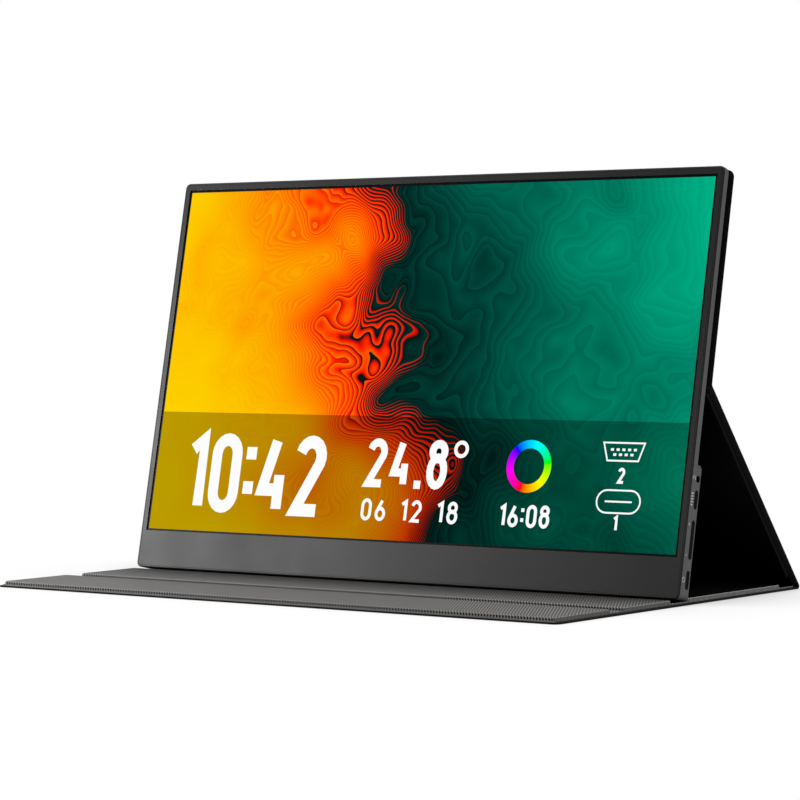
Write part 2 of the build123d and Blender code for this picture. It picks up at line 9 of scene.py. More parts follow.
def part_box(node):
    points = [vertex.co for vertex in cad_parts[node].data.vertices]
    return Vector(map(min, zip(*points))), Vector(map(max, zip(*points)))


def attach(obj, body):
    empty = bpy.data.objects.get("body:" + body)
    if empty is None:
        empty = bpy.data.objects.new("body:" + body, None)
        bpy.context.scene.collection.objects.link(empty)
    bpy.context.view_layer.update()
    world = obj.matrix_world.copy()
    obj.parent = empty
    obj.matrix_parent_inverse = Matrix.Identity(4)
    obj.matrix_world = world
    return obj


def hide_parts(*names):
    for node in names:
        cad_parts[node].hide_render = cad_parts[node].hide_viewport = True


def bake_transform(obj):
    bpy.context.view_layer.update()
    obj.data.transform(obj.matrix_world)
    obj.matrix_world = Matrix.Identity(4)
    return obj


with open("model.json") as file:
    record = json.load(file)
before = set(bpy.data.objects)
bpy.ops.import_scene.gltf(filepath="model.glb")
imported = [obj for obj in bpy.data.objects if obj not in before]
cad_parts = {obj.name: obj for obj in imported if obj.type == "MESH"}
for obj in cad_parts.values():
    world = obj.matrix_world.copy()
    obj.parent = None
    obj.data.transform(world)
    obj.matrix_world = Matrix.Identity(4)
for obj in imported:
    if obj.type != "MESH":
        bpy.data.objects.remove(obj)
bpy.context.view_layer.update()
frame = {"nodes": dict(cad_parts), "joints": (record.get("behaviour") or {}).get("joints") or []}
mm = 0.001
full_turn = 2 * math.pi

# Display, as in the part. Its own axes are x to the right, y up the screen and z towards the viewer.
lean = math.radians(11.76)
case_w = 353.56 * mm
# Painted shadow of the seam on the casing's front rim: where it starts and where it is full, in from
# the left and right sides
seam_shadow_band = (2.0 * mm, 1.5 * mm)
screen_w = 344.16 * mm
screen_h = 193.59 * mm
screen_columns = 1920
border = 0.45 * mm
border_low = 0.3 * mm
chin_h = 21.7 * mm
glass_margin = 2.4 * mm
glass_front = 0.6 * mm
glass_t = 0.5 * mm
bezel_inset = 1.25 * mm
cut_tolerance = 1e-4

# Cover, as in the part
skin_t = 1.5 * mm
half_skin = skin_t / 2
leather_t = 0.75 * mm
band_t = skin_t - leather_t
leather_height = (leather_t - skin_t) / 2
band_height = (skin_t - band_t) / 2
skin_edge_r = 0.25 * mm
band_edge_r = 0.1 * mm
skin_corner_r = 4.0 * mm
stiff_corner_r = 2.5 * mm
lining_t = 0.4 * mm
wrap_edge_r = 0.7 * mm
lip_bend = 2.0 * mm
flap_bend = 1.4 * mm
rear_bend = 1.5 * mm
back_bend = 1.4 * mm
band_pinch = 0.4
foot_ribs = 0.3
fold_steps = 12
round_steps = 4
smooth_angle = math.radians(40)
cloth_smooth_angle = math.radians(50)

# Row of dark gaps under the front edge of the strips on the table, dark as painted shade
edge_row_low = 1.35 * mm
edge_row_h = 1.5 * mm
# The next three values are shares of the row's height.
edge_row_swing = 0.3
edge_row_middle = 0.4
edge_row_half = (0.3, 0.45)

# Weave of the lining, with slanting ribs on top and upright ones at the sides. Cells are per metre.
rib_pitch = 1.5 * mm
rib_angle = math.radians(60)
rib_height = 0.09 * mm
rib_fill = 0.2
rib_samples = 4
thread_pitch = 0.75 * mm
thread_slant = 0.5
thread_share = 0.35
side_pitch = 1.2 * mm
side_slant = 0.69
speckle_cells = 2200.0
fuzz_cells = 6000.0
fuzz_share = 0.12
cloth_tone_cells = 40.0
shade_reach = 60 * mm
shade_power = 3.6
shade_samples = 8

# Grain of the leather, the mouldings, rolled metal, circuit board and clear plastic
pebble_cells = 1100.0
pebble_height = 0.06 * mm
crease_cells = 3000.0
crease_share = 0.4
leather_tone_cells = 18.0
mould_grain = 0.25 * mm
mould_height = 0.004 * mm
tone_cells = 25.0
fine_height = 0.01 * mm
sheet_stretch = (40, 900, 900)
sheet_cells = 6.0
track_cells = 160.0
track_gap = 0.03
track_height = 0.03 * mm
lacquer_cells = 1500.0
flow_stretch = (60, 300, 300)
flow_cells = 2.0
haze_cells = 300.0

# Picture on the screen, in the display's own axes. Its edge and levels are in screen heights.
band_top = 88.5 * mm
band_share = 0.5
grid_share = 0.06
hill_cells = (11.0, 28.0, 62.0)
hill_shares = (0.9, 0.26, 0.06)
hill_warps = (0.6, 0.9, 0.5)
hill_shift = 3.1
hill_middle = 0.6
hill_reach = 0.85
edge_start = 0.2
edge_slope = -0.46
edge_drift = 0.7
level_range = (-0.9, 1.3)
close_lines = 54.0
wide_lines = 24.0
wide_from = (0.12, 0.2)
line_reach = 0.45
line_strength = (0.26, 0.1)
amber_fade = (-0.75, -0.2)
amber_strength = 0.4
ring_centre = (78.7 * mm, 64.0 * mm)
ring_radii = (9.4 * mm, 13.8 * mm)
ring_turn = 1.3

# Rows of figures: text, width share, and left end, lower edge, height, stroke and gap in mm
figure_rows = (
    ("10:42", 0.38, -149.5, 32.5, 44.5, 7.0, 3.0),
    ("24.8", 0.4, -25.5, 50.0, 26.5, 4.4, 3.0),
    ("06 12 18", 0.5, -25.5, 32.0, 12.0, 1.9, 2.4),
    ("16:08", 0.45, 63.5, 32.0, 12.0, 1.9, 1.5),
    ("2", 0.42, 133.0, 56.6, 8.2, 1.5, 1.0),
    ("1", 0.42, 133.0, 32.2, 8.2, 1.5, 1.0),
)
narrow_one = 0.5
degree_centre = (35.3 * mm, 71.8 * mm)
degree_radii = (2.6 * mm, 4.7 * mm)

# Connector outlines at the right of the picture
outline_t = 0.9 * mm
outline_x = 135.0 * mm
pill_y = 47.4 * mm
pill_size = (25.8 * mm, 11.6 * mm)
pill_bar = 16.0 * mm
shield_y = (68.3 * mm, 77.5 * mm)
shield_w = (18.4 * mm, 24.4 * mm)
pin_pitch = 3.4 * mm
pin_t = 1.3 * mm
pin_rows = ((0.62, 5), (0.34, 4))

# Prints beside the keys: kind, place up the display and size
print_t = 0.02 * mm
print_line = 0.3 * mm
print_depth = 2.3 * mm
prints = (
    ("headphones", 61.0 * mm, 2.4 * mm),
    ("bars", 50.6 * mm, 1.8 * mm),
    ("plus", 37.9 * mm, 1.6 * mm),
    ("minus", 22.5 * mm, 1.6 * mm),
    ("power", 10.2 * mm, 2.4 * mm),
)

# Studio, with a floor that glows evenly and a sky that is darker near the horizon
floor_half = 12.0
floor_drop = 0.02 * mm
floor_white = 1.0
floor_shade = 0.85
floor_shade_reach = 90 * mm
floor_shade_samples = 16
floor_bounce = 0.5
sky_rise = (0.3, 0.75)
sky_strength = (0.12, 1.0)

# Soft lights: name, place, target and size in metres, and power in watts
lights = (
    ("key_left", (-0.62, -0.42, 0.21), (-0.12, 0.0, 0.02), (0.36, 0.26), 4.2),
    ("fill_right", (1.35, 0.25, 0.17), (0.18, 0.0, 0.08), (0.6, 0.3), 8),
)

# Camera's place and its turn in degrees, fitted to the photograph's 800 x 800 frame
camera_place = Vector((968.27, -1324.22, 144.62)) * mm
camera_turn = (88.4161, 0.1218, 36.0852)
camera_lens = 139.94

front_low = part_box("front_bezel")[0]
display_origin = Vector((
    0,
    front_low.y - bezel_inset * math.sin(lean),
    front_low.z - bezel_inset * math.cos(lean) + glass_front * math.sin(lean),
))
display_turn = math.pi / 2 - lean
display_place = Matrix.Translation(display_origin) @ Matrix.Rotation(display_turn, 4, "X")
display_out = Vector((0, -math.cos(lean), math.sin(lean)))


def fold_place(name):
    """A point on a fold's axis, in the middle of the skin."""
    joint = next(joint for joint in frame["joints"] if joint["name"] == name)
    return Vector(joint["pos_m"])


def reach_along(node, origin, direction):
    """Where a node starts and ends along a direction, from an origin."""
    places = [(vertex.co - origin).dot(direction) for vertex in frame["nodes"][node].data.vertices]
    return min(places), max(places)


front_fold = fold_place("front_fold")
lip_fold = fold_place("lip_fold")
rear_fold = fold_place("rear_fold")
back_fold = fold_place("back_fold")
table_along = Vector((0, 1, 0))
table_out = Vector((0, 0, 1))
leg_length = (back_fold - rear_fold).length
leg_along = (back_fold - rear_fold).normalized()
leg_out = Vector((0, -leg_along.z, leg_along.y))
panel_along = Vector((0, math.sin(lean), math.cos(lean)))
skin_w = 2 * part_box("base_skin")[1].x
stiff_w = 2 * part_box("base_lining")[1].x
wrap_height = reach_along("base_lining", table_out * skin_t, table_out)[1]


# Materials

class Look:
    """A new material with one Principled shader, and short calls that add nodes to it."""

    def __init__(self, name):
        self.material = bpy.data.materials.new(name)
        self.material.use_nodes = True
        self.tree = self.material.node_tree
        self.tree.nodes.clear()
        self.surface = self.add("ShaderNodeBsdfPrincipled")
        output = self.add("ShaderNodeOutputMaterial")
        self.tree.links.new(self.surface.outputs["BSDF"], output.inputs["Surface"])
        coordinates = self.add("ShaderNodeTexCoord")
        self.place = coordinates.outputs["Object"]
        self.facing = coordinates.outputs["Normal"]

    def add(self, kind, **settings):
        """A node with some of its settings."""
        node = self.tree.nodes.new(kind)
        for key, value in settings.items():
            setattr(node, key, value)
        return node

    def feed(self, socket, value):
        """Link a socket, or set its value."""
        if isinstance(value, bpy.types.NodeSocket):
            self.tree.links.new(value, socket)
        else:
            socket.default_value = value

    def put(self, **values):
        """Feed sockets of the shader by name, with _ for a space."""
        for name, value in values.items():
            self.feed(self.surface.inputs[name.replace("_", " ")], value)

    def calc(self, operation, *values):
        """A Math node's result."""
        node = self.add("ShaderNodeMath", operation=operation)
        for socket, value in zip(node.inputs, values):
            self.feed(socket, value)
        return node.outputs[0]

    def dot(self, vector, direction):
        """How far a vector reaches in a direction."""
        node = self.add("ShaderNodeVectorMath", operation="DOT_PRODUCT")
        self.feed(node.inputs[0], vector)
        node.inputs[1].default_value = tuple(direction)
        return node.outputs["Value"]

    def stretch(self, vector, scale):
        """A vector times a scale for each axis."""
        node = self.add("ShaderNodeVectorMath", operation="MULTIPLY")
        self.feed(node.inputs[0], vector)
        node.inputs[1].default_value = tuple(scale)
        return node.outputs["Vector"]

    def noise(self, vector, cells, detail=2.0, warp=0.0):
        """Noise from 0 to 1."""
        node = self.add("ShaderNodeTexNoise")
        self.feed(node.inputs["Vector"], vector)
        node.inputs["Scale"].default_value = cells
        node.inputs["Detail"].default_value = detail
        node.inputs["Distortion"].default_value = warp
        return node.outputs["Fac"]

    def wave(self, distance, pitch):
        """A sine wave from 0 to 1 along a distance."""
        angle = self.calc("MULTIPLY", distance, full_turn / pitch)
        return self.calc("MULTIPLY_ADD", self.calc("SINE", angle), 0.5, 0.5)

    def span(self, value, low, high, to_low, to_high):
        """A value moved from one range to another, held at its ends."""
        node = self.add("ShaderNodeMapRange")
        for socket, given in zip(node.inputs, (value, low, high, to_low, to_high)):
            self.feed(socket, given)
        return node.outputs["Result"]

    def spread(self, noise, low, high):
        """Noise stretched over a range, since most of it lies between 0.3 and 0.7."""
        return self.span(noise, 0.3, 0.7, low, high)

    def mix(self, factor, first, second):
        """A mix of two colours."""
        node = self.add("ShaderNodeMix", data_type="RGBA")
        colours = [socket for socket in node.inputs if socket.type == "RGBA"]
        self.feed(node.inputs["Factor"], factor)
        self.feed(colours[0], first)
        self.feed(colours[1], second)
        return next(socket for socket in node.outputs if socket.type == "RGBA")

    def ramp(self, factor, stops):
        """A colour ramp through (place, colour) stops."""
        node = self.add("ShaderNodeValToRGB")
        self.feed(node.inputs["Fac"], factor)
        points = node.color_ramp.elements
        while len(points) < len(stops):
            points.new(1.0)
        for point, (place, colour) in zip(points, stops):
            point.position = place
            point.color = colour
        return node.outputs["Color"]

    def openness(self, reach, samples):
        """How open the surface is to what lies within a reach, from 0 to 1."""
        node = self.add("ShaderNodeAmbientOcclusion", samples=samples)
        node.inputs["Distance"].default_value = reach
        return node.outputs["AO"]

    def relief(self, height, distance):
        """Feed the shader's normal from a height."""
        node = self.add("ShaderNodeBump")
        node.inputs["Distance"].default_value = distance
        self.feed(node.inputs["Height"], height)
        self.feed(self.surface.inputs["Normal"], node.outputs["Normal"])


def rgb(*values):
    """A colour from the 0 to 255 values that a screen shows."""
    shares = [value / 255 for value in values]
    return tuple(share / 12.92 if share <= 0.04045 else ((share + 0.055) / 1.055) ** 2.4
                 for share in shares) + (1.0,)


def grey(value):
    """A neutral colour."""
    return (value, value, value, 1.0)


def scaled(colour, factor):
    """A colour made lighter or darker."""
    return tuple(min(1.0, part * factor) for part in colour[:3]) + (1.0,)


def mixed(look, factor, first, second):
    """A mix of two numbers."""
    return look.calc("MULTIPLY_ADD", factor, look.calc("SUBTRACT", second, first), first)


def mottle(look, colour, roughness, grain, depth, tone):
    """Give a surface a fine grain and slow changes of roughness and tone. The result is its
    colour."""
    fine = look.noise(look.place, 1 / grain, detail=3.0)
    slow = look.noise(look.place, tone_cells, detail=3.0)
    look.put(Roughness=look.spread(slow, roughness - 0.04, roughness + 0.04))
    look.relief(fine, depth)
    tint = look.mix(slow, scaled(colour, 1 - tone), scaled(colour, 1 + tone))
    return look.mix(look.spread(fine, 0.0, 0.35), tint, scaled(colour, 1.5))


def grained(name, colour, roughness, grain=mould_grain, depth=fine_height, shine=0.5):
    """A matte surface with a fine grain."""
    look = Look(name)
    look.put(
        Base_Color=mottle(look, colour, roughness, grain, depth, 0.12),
        Specular_IOR_Level=shine,
    )
    return look.material


def twill(name, along, out, dark, light, side_painted_tone, shine):
    """Woven cloth with slanting ribs on top. At the sides its ribs stand upright, with a row of
    dark gaps under the front edge. Its hollows are near black as painted shade. The sides take a
    painted tone of their own, with painted shade on the front side and a painted highlight on the
    rounded top edge, and the top takes painted shade where something stands close over it."""
    look = Look(name)
    sideways = Vector((1, 0, 0))
    across = sideways * math.sin(rib_angle) + along * math.cos(rib_angle)
    beside = sideways * math.cos(rib_angle) - along * math.sin(rib_angle)
    thread = look.wave(look.dot(look.place, across * thread_slant + beside), thread_pitch)
    top_ribs = look.calc("MULTIPLY", look.wave(look.dot(look.place, across), rib_pitch),
                         look.calc("MULTIPLY_ADD", thread, thread_share, 1 - thread_share))
    top_ribs = look.calc("MULTIPLY_ADD", top_ribs, 1 - rib_fill, rib_fill)
    side_ribs = look.wave(look.dot(look.place, sideways * side_slant + along), side_pitch)
    speckle = look.spread(look.noise(look.place, speckle_cells), 0, 1)
    plain_side = look.calc("MULTIPLY_ADD", side_ribs, 0.7, look.calc("MULTIPLY", speckle, 0.3))
    # The row of gaps is a zigzag at the front side. The edge above it has a bright dot per rib, made
    # brighter by a painted highlight.
    level = look.calc("DIVIDE", look.calc("SUBTRACT", look.dot(look.place, out), edge_row_low),
                      edge_row_h)
    zigzag = look.calc("SUBTRACT", level, look.calc("MULTIPLY", side_ribs, edge_row_swing))
    off_middle = look.calc("ABSOLUTE", look.calc("SUBTRACT", zigzag, edge_row_middle))
    row = look.calc("MAXIMUM", look.span(off_middle, *edge_row_half, 0, 1),
                    look.span(side_ribs, 0.55, 0.8, 0, 1))
    row = look.calc("MULTIPLY", row, look.calc("MULTIPLY_ADD", speckle, 0.4, 0.6))
    front = look.span(look.dot(look.facing, along), -0.5, -0.3, 1, 0)
    side_height = mixed(look, front, plain_side, row)
    upward = look.dot(look.facing, out)
    dots = look.span(side_ribs, 0.35, 0.75, 0, 1)
    edge = look.span(upward, 0.5, 0.65, 0, 1)
    side_height = mixed(look, edge, side_height, dots)
    on_top = look.span(upward, 0.9, 0.98, 0, 1)
    height = mixed(look, on_top, side_height, top_ribs)
    height = look.calc("MULTIPLY_ADD", look.noise(look.place, fuzz_cells), fuzz_share, height)
    slow = look.noise(look.place, cloth_tone_cells)
    tint = look.mix(slow, scaled(light, 0.92), scaled(light, 1.06))
    # Painted light: the sides take a tone of their own, and the front side is darker as painted
    # shade.
    side_painted_tint = look.mix(front, scaled(side_painted_tone, 0.6), side_painted_tone)
    # Painted highlight: the rounded top edge is about twice as light.
    side_painted_tint = look.mix(edge, side_painted_tint, scaled(side_painted_tone, 2.1))
    tint = look.mix(on_top, side_painted_tint, tint)
    # Painted shade: the top is darker where something stands close over it.
    shade = look.openness(shade_reach, shade_samples)
    open_share = mixed(look, on_top, 1.0, look.calc("POWER", shade, shade_power))
    # Painted shade: the hollows between ribs are near black, and darker still at the sides.
    gap = look.mix(on_top, scaled(dark, 0.3), dark)
    cloth = look.mix(look.span(height, 0.1, 0.8, 0, 1), gap, tint)
    look.put(
        Base_Color=look.mix(open_share, grey(0.0), cloth),
        Roughness=look.span(height, 0.0, 1.0, 0.8, 0.6),
        Specular_IOR_Level=shine,
    )
    look.relief(height, rib_height)
    return look.material


def leather(name, colour, edge_colour, roughness, edge_roughness):
    """Artificial leather with a fine pebbled grain, darker and duller wherever it faces neither back
    nor down, as at its edges.
    """
    look = Look(name)
    backward = look.dot(look.facing, (0, 1, 0))
    downward = look.dot(look.facing, (0, 0, -1))
    outside = look.span(look.calc("MAXIMUM", backward, downward), 0.4, 0.6, 0.0, 1.0)
    cells = look.add("ShaderNodeTexVoronoi", feature="SMOOTH_F1")
    cells.inputs["Scale"].default_value = pebble_cells
    look.feed(cells.inputs["Vector"], look.place)
    fine = look.noise(look.place, crease_cells, detail=4.0)
    height = look.calc("MULTIPLY_ADD", fine, crease_share, cells.outputs["Distance"])
    slow = look.noise(look.place, leather_tone_cells, detail=4.0)
    tint = look.mix(slow, scaled(colour, 0.8), scaled(colour, 1.25))
    face = look.mix(look.span(height, 0.3, 1.0, 0.0, 0.6), tint, scaled(colour, 0.5))
    look.put(
        Base_Color=look.mix(outside, edge_colour, face),
        Roughness=mixed(look, outside, edge_roughness,
                        look.span(height, 0.2, 1.0, roughness - 0.06, roughness + 0.1)),
        Specular_IOR_Level=0.25,
    )
    look.relief(height, pebble_height)
    return look.material


def brushed(name, colour, roughness):
    """Rolled or plated metal with faint lines along the sheet."""
    look = Look(name)
    lines = look.noise(look.stretch(look.place, sheet_stretch), sheet_cells, detail=4.0)
    look.put(
        Base_Color=look.mix(lines, scaled(colour, 0.85), scaled(colour, 1.1)),
        Roughness=look.spread(lines, roughness - 0.06, roughness + 0.08),
        Metallic=1.0,
    )
    look.relief(lines, fine_height)
    return look.material


def circuit(name, colour, copper):
    """Circuit board with pale tracks under its lacquer."""
    look = Look(name)
    tracks = look.add("ShaderNodeTexBrick")
    tracks.inputs["Scale"].default_value = track_cells
    tracks.inputs["Mortar Size"].default_value = track_gap
    look.feed(tracks.inputs["Vector"], look.place)
    grain = look.noise(look.place, lacquer_cells)
    look.put(
        Base_Color=look.mix(tracks.outputs["Fac"], look.mix(grain, colour, scaled(colour, 1.3)),
                            copper),
        Roughness=look.spread(grain, 0.3, 0.4),
    )
    look.relief(tracks.outputs["Fac"], track_height)
    return look.material


def clear_plastic(name, colour, roughness, clearness):
    """Clear or milky plastic with faint flow lines."""
    look = Look(name)
    flow = look.noise(look.stretch(look.place, flow_stretch), flow_cells, detail=3.0)
    look.put(
        Base_Color=look.mix(flow, scaled(colour, 0.92), colour),
        Roughness=look.spread(flow, roughness, roughness + 0.08),
        Transmission_Weight=clearness,
        IOR=1.49,
    )
    look.relief(flow, fine_height)
    return look.material


# Picture on the screen, in the display's own axes

def screen_place(look):
    """A point in the display's own axes, in metres."""
    node = look.add("ShaderNodeMapping", vector_type="TEXTURE")
    look.feed(node.inputs["Vector"], look.place)
    node.inputs["Location"].default_value = display_origin
    node.inputs["Rotation"].default_value = (display_turn, 0, 0)
    return node.outputs["Vector"]


def pixel_grid(look, place):
    """Faint rows and columns of the panel's pixels, from 0 to 1."""
    pixel = screen_w / screen_columns
    columns = look.wave(look.dot(place, (1, 0, 0)), pixel)
    rows = look.wave(look.dot(place, (0, 1, 0)), pixel)
    return look.calc("MULTIPLY", columns, rows)


def lit(look, place, colour):
    """Make the surface shine with a colour, as a lit panel does."""
    grid = look.calc("MULTIPLY", pixel_grid(look, place), grid_share)
    look.put(
        Base_Color=grey(0.0),
        Emission_Color=look.mix(grid, colour, grey(0.0)),
        Emission_Strength=1.0,
        Roughness=0.5,
        Specular_IOR_Level=0.0,
    )


def terrain(look, place):
    """A hilly field from about 0 to 1, whose level lines run round hills of three sizes."""
    moved = look.add("ShaderNodeVectorMath", operation="ADD")
    look.feed(moved.inputs[0], place)
    moved.inputs[1].default_value = (hill_shift, -hill_shift, hill_shift)
    height = 0.0
    for cells, share, warp in zip(hill_cells, hill_shares, hill_warps):
        hills = look.noise(moved.outputs["Vector"], cells, detail=0.0, warp=warp)
        height = look.calc("MULTIPLY_ADD", hills, share, height)
    return height


def wallpaper(name):
    """Contour lines from amber through red and black to green, darker in the lower band."""
    look = Look(name)
    place = screen_place(look)
    x = look.calc("DIVIDE", look.dot(place, (1, 0, 0)), screen_h)
    y = look.calc("DIVIDE", look.dot(place, (0, 1, 0)), screen_h)
    hills = terrain(look, look.stretch(place, (1, 1, 0)))
    edge = look.calc("MULTIPLY_ADD", y, edge_slope, edge_start)
    side = look.calc("SUBTRACT", x, edge)
    bend = look.calc("SUBTRACT", hills, hill_middle)
    level = look.calc("MULTIPLY_ADD", bend, hill_reach, side)
    slope = look.calc("MULTIPLY_ADD", side, edge_drift, hills)
    close_steps = look.calc("FRACT", look.calc("MULTIPLY", slope, close_lines))
    wide_steps = look.calc("FRACT", look.calc("MULTIPLY", slope, wide_lines))
    right = look.span(level, *wide_from, 0, 1)
    saw = look.calc("SUBTRACT", mixed(look, right, close_steps, wide_steps), 0.5)
    amount = look.span(look.calc("ABSOLUTE", level), 0.0, line_reach, *line_strength)
    amount = look.calc("MULTIPLY", amount, look.span(level, *amber_fade, amber_strength, 1.0))
    stepped = look.calc("MULTIPLY_ADD", saw, amount, level)
    colour = look.ramp(look.span(stepped, *level_range, 0.0, 1.0), (
        (0.0, rgb(255, 214, 0)),
        (0.12, rgb(255, 198, 0)),
        (0.23, rgb(255, 162, 0)),
        (0.31, rgb(255, 118, 0)),
        (0.375, rgb(255, 56, 0)),
        (0.405, rgb(245, 24, 0)),
        (0.435, rgb(4, 16, 15)),
        (0.475, rgb(0, 42, 37)),
        (0.56, rgb(0, 66, 56)),
        (0.68, rgb(0, 102, 82)),
        (0.82, rgb(0, 142, 110)),
        (1.0, rgb(0, 180, 136)),
    ))
    low = look.calc("LESS_THAN", look.dot(place, (0, 1, 0)), band_top)
    dimmed = look.mix(look.calc("MULTIPLY", low, band_share), colour, grey(0.0))
    lit(look, place, dimmed)
    return look.material


def white_figure(name):
    """White figures drawn on the picture."""
    look = Look(name)
    lit(look, screen_place(look), grey(1.0))
    return look.material


def colour_ring(name):
    """A ring that goes through all hues."""
    look = Look(name)
    place = screen_place(look)
    x = look.calc("SUBTRACT", look.dot(place, (1, 0, 0)), ring_centre[0])
    y = look.calc("SUBTRACT", look.dot(place, (0, 1, 0)), ring_centre[1])
    angle = look.calc("DIVIDE", look.calc("ARCTAN2", y, x), full_turn)
    hue = look.add("ShaderNodeCombineColor", mode="HSV")
    look.feed(hue.inputs[0], look.calc("FRACT", look.calc("ADD", angle, ring_turn)))
    hue.inputs[1].default_value = 1.0
    hue.inputs[2].default_value = 1.0
    lit(look, place, hue.outputs["Color"])
    return look.material


def black_border(name):
    """The glass outside the picture, black from behind."""
    look = Look(name)
    haze = look.noise(look.place, haze_cells)
    look.put(
        Base_Color=look.mix(haze, grey(0.002), grey(0.005)),
        Roughness=look.spread(haze, 0.3, 0.4),
        Specular_IOR_Level=0.05,
    )
    return look.material


def casing(name, colour, rim_shade_colour, seam_shadow_colour, roughness):
    """Matte plastic with a fine grain. Its front rim is darker as painted shade by the bezel seam,
    and black at the left and right as a painted shadow of that seam.
    """
    look = Look(name)
    wall = mottle(look, colour, roughness, mould_grain, mould_height, 0.1)
    across = look.calc("ABSOLUTE", look.dot(look.place, (1, 0, 0)))
    # Painted shadow of the seam at the left and right.
    beside = look.span(across, case_w / 2 - seam_shadow_band[0], case_w / 2 - seam_shadow_band[1], 0.0, 1.0)
    rim = look.span(look.dot(look.facing, display_out), 0.3, 0.6, 0.0, 1.0)
    look.put(
        Base_Color=look.mix(rim, wall, look.mix(beside, rim_shade_colour, seam_shadow_colour)),
        Specular_IOR_Level=0.3,
    )
    return look.material


leather_finish = leather("leather", (0.014, 0.014, 0.0145, 1.0), grey(0.002), 0.5, 0.95)
# The weave's hollows are near black as painted shade; its threads take the lighter colour.
twill_dark = (0.006, 0.0058, 0.0056, 1.0)
twill_light = (0.285, 0.276, 0.265, 1.0)
table_twill = twill("twill_table", table_along, table_out, twill_dark, twill_light,
                    scaled(twill_light, 0.76), 0.22)
# Painted light: the base's top is nearly black as painted shade under the display and leg, and its
# sides are painted lighter where the side light falls.
base_twill_painted_shade = twill("twill_base_painted_shade", table_along, table_out, scaled(twill_dark, 0.1),
                   scaled(twill_light, 0.04), scaled(twill_light, 1.1), 0.05)
# Painted shade: the leg's lining and its edges are nearly black, as they lie in shade inside the
# stand.
leg_twill_painted_shade = twill("twill_leg_painted_shade", leg_along, leg_out, scaled(twill_dark, 0.1),
                  scaled(twill_light, 0.06), scaled(twill_light, 0.03), 0.05)
panel_twill = twill("twill_panel", panel_along, display_out, scaled(twill_dark, 0.2),
                    scaled(twill_light, 0.2), scaled(twill_light, 0.2), 0.1)

finishes = {
    "casing": casing("casing", (0.062, 0.062, 0.063, 1.0), grey(0.012), grey(0.001), 0.48),
    "bezel": grained("bezel", grey(0.008), 0.42, depth=mould_height, shine=0.28),
    "screen": black_border("glass_border"),
    "inner_glass": clear_plastic("inner_glass", (0.8, 0.85, 0.83, 1.0), 0.05, 0.9),
    "film": clear_plastic("film", grey(0.9), 0.4, 0.5),
    "guide": clear_plastic("guide", (0.93, 0.95, 0.95, 1.0), 0.08, 0.9),
    "lights": circuit("lights", (0.7, 0.7, 0.68, 1.0), (0.9, 0.8, 0.3, 1.0)),
    "tray": brushed("tray", (0.55, 0.56, 0.57, 1.0), 0.4),
    "tape": grained("tape", grey(0.02), 0.85, grain=0.4 * mm, depth=0.05 * mm),
    "steel": brushed("steel", (0.5, 0.5, 0.51, 1.0), 0.35),
    "circuit": circuit("circuit", (0.01, 0.06, 0.03, 1.0), (0.05, 0.16, 0.08, 1.0)),
    "chip": grained("chip", (0.018, 0.018, 0.019, 1.0), 0.5),
    "plating": brushed("plating", (0.72, 0.7, 0.66, 1.0), 0.3),
    "ribbon": grained("ribbon", (0.35, 0.16, 0.03, 1.0), 0.35),
    "black_plastic": grained("black_plastic", grey(0.012), 0.45),
    # Black keys, painted darker than the black plastic as the shade in their slots.
    "keys": grained("keys", grey(0.002), 0.6, shine=0.05),
    "light_pipe": clear_plastic("light_pipe", (0.9, 0.92, 0.95, 1.0), 0.15, 0.85),
    "magnet": brushed("magnet", grey(0.6), 0.25),
    "skin": leather_finish,
    "stiffener": grained("stiffener", (0.16, 0.13, 0.09, 1.0), 0.8, grain=0.6 * mm),
    "lining": table_twill,
}
for node in frame["nodes"].values():
    for material_slot in node.material_slots:
        material_slot.material = finishes[material_slot.material.name]


# Meshes

def new_piece(name, mesh, body, materials):
    """An object from a bmesh, with its body, slot and materials."""
    bmesh.ops.recalc_face_normals(mesh, faces=mesh.faces)
    data = bpy.data.meshes.new(name)
    mesh.to_mesh(data)
    mesh.free()
    for material in materials:
        data.materials.append(material)
    piece = bpy.data.objects.new(name, data)
    bpy.context.collection.objects.link(piece)
    if body is not None:
        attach(piece, body)
    return piece


def shade_smooth(piece, angle=smooth_angle):
    """Smooth shading, with edges sharper than an angle kept sharp."""
    piece.data.shade_smooth()
    piece.data.set_sharp_from_angle(angle=angle)


def arc_points(centre, radii, start, end, steps=10):
    """Points on part of an ellipse, with angles in degrees."""
    angles = [math.radians(start + (end - start) * step / steps) for step in range(steps + 1)]
    return [(centre[0] + radii[0] * math.cos(angle), centre[1] + radii[1] * math.sin(angle))
            for angle in angles]


def round_loop(half_width, half_height, radius):
    """Points round a rectangle with round corners, about the origin."""
    points = []
    for side_x, side_y, start in ((1, 1, 0), (-1, 1, 90), (-1, -1, 180), (1, -1, 270)):
        centre = (side_x * (half_width - radius), side_y * (half_height - radius))
        points += arc_points(centre, (radius, radius), start, start + 90, round_steps)
    return points


def join_loops(mesh, loops):
    """Faces between loops of vertices, one after the other, and a cap at each end."""
    for first, second in zip(loops, loops[1:]):
        for index in range(len(first)):
            after = (index + 1) % len(first)
            mesh.faces.new((first[index], first[after], second[after], second[index]))
    mesh.faces.new(loops[0])
    mesh.faces.new(loops[-1])


def sweep(mesh, stations, edge_r, kind):
    """A closed strip through stations (centre, out, half width, half thickness)."""
    loops = []
    first_new = len(mesh.faces)
    for centre, out, half_width, half_thickness in stations:
        # A thin end keeps a little of its flat side between its two round edges.
        loop = round_loop(half_width, half_thickness, min(edge_r, half_thickness * 0.9))
        loops.append([mesh.verts.new(centre + Vector((x, 0, 0)) + out * height)
                      for x, height in loop])
    join_loops(mesh, loops)
    mesh.faces.ensure_lookup_table()
    for face in mesh.faces[first_new:]:
        face.material_index = kind


